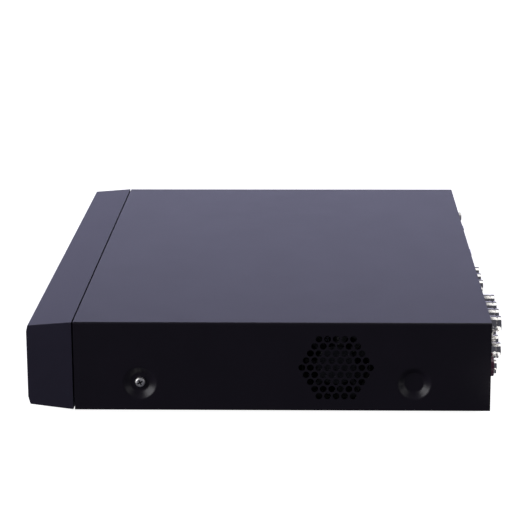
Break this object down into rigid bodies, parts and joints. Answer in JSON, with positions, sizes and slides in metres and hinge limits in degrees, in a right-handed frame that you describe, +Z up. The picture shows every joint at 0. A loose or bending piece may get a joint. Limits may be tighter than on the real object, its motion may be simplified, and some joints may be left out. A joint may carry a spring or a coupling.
{
  "type": "dvr recorder",
  "caption": "Slim desktop video recorder: folded steel cover with a hexagonal fan vent, wedge-topped plastic bezel, rear coaxial video jacks, sockets and power switch.",
  "frame": {"origin": "on the resting surface, under the middle of the whole object's box", "axes": "+Z up; the front bezel looks along -Y and the connectors along +Y; the side with the fan behind its vent looks along +X"},
  "size_m": [0.375, 0.28, 0.056],
  "materials": {
    "case_paint": "fine satin powder coat, blue-black",
    "bezel_plastic": "satin moulded plastic, blue-black",
    "window_gloss": "smoked gloss",
    "lamp_clear": "frosted clear light pipe",
    "circuit_board": "green solder mask",
    "socket_steel": "tinned sheet",
    "jack_nickel": "bright nickel plate",
    "screw_zinc": "bright zinc plate",
    "heat_sink_aluminium": "extruded",
    "disk_metal": "die cast",
    "lead_red": "smooth cable jacket",
    "black_plastic": "moulded black",
    "foot_rubber": "matt rubber",
    "jack_red_plastic": "moulded pink-red",
    "terminal_green": "moulded green",
    "switch_gloss": "polished black"
  },
  "bodies": {
    "case": {"top_cover": "case_paint", "base_tray": "case_paint", "rear_panel": "case_paint", "front_bezel": "bezel_plastic", "front_window": "window_gloss", "lamp_lens_power": "lamp_clear", "lamp_lens_disk": "lamp_clear", "lamp_lens_network": "lamp_clear", "front_board": "circuit_board", "infrared_receiver": "window_gloss", "front_usb_socket": "socket_steel", "main_board": "circuit_board", "heat_sink": "heat_sink_aluminium", "coin_cell": "socket_steel", "cell_holder": "black_plastic", "hard_disk": "disk_metal", "disk_screw_1": "screw_zinc", "disk_screw_2": "screw_zinc", "disk_screw_3": "screw_zinc", "disk_screw_4": "screw_zinc", "disk_data_lead": "lead_red", "disk_power_lead": "black_plastic", "fan_frame": "black_plastic", "side_screw_right": "screw_zinc", "side_screw_left": "screw_zinc", "rear_screw_1": "screw_zinc", "rear_screw_2": "screw_zinc", "rear_screw_3": "screw_zinc", "ground_screw": "screw_zinc", "foot_1": "foot_rubber", "foot_2": "foot_rubber", "foot_3": "foot_rubber", "foot_4": "foot_rubber", "bnc_housing": "black_plastic", "bnc_jack_1": "jack_nickel", "bnc_jack_2": "jack_nickel", "bnc_jack_3": "jack_nickel", "bnc_jack_4": "jack_nickel", "bnc_jack_5": "jack_nickel", "bnc_jack_6": "jack_nickel", "bnc_jack_7": "jack_nickel", "bnc_jack_8": "jack_nickel", "audio_housing": "black_plastic", "audio_jack_1": "jack_nickel", "audio_jack_2": "jack_nickel", "audio_jack_3": "jack_nickel", "audio_jack_4": "jack_nickel", "audio_jack_5": "jack_nickel", "audio_jack_6": "jack_nickel", "microphone_jack": "jack_red_plastic", "vga_socket": "socket_steel", "hdmi_socket": "socket_steel", "lan_socket": "socket_steel", "rear_usb_socket": "socket_steel", "dc_inlet": "black_plastic", "terminal_block": "terminal_green", "switch_body": "black_plastic"},
    "button": {"power_button": "bezel_plastic"},
    "fan": {"fan_rotor": "black_plastic"},
    "rocker": {"power_rocker": "switch_gloss"}
  },
  "joints": [
    {"name": "button_press", "type": "slide", "parent": "case", "child": "button", "axis": [0, 1, 0], "range_m": [0, 0.001], "stiffness_N_per_m": 1500},
    {"name": "fan_spin", "type": "hinge", "parent": "case", "child": "fan", "pos_m": [0.1765, 0.0409, 0.0289], "axis": [1, 0, 0], "continuous": true},
    {"name": "rocker_tilt", "type": "hinge", "parent": "case", "child": "rocker", "pos_m": [-0.1035, 0.13, 0.0385], "axis": [1, 0, 0], "range_deg": [0, 22]}
  ]
}
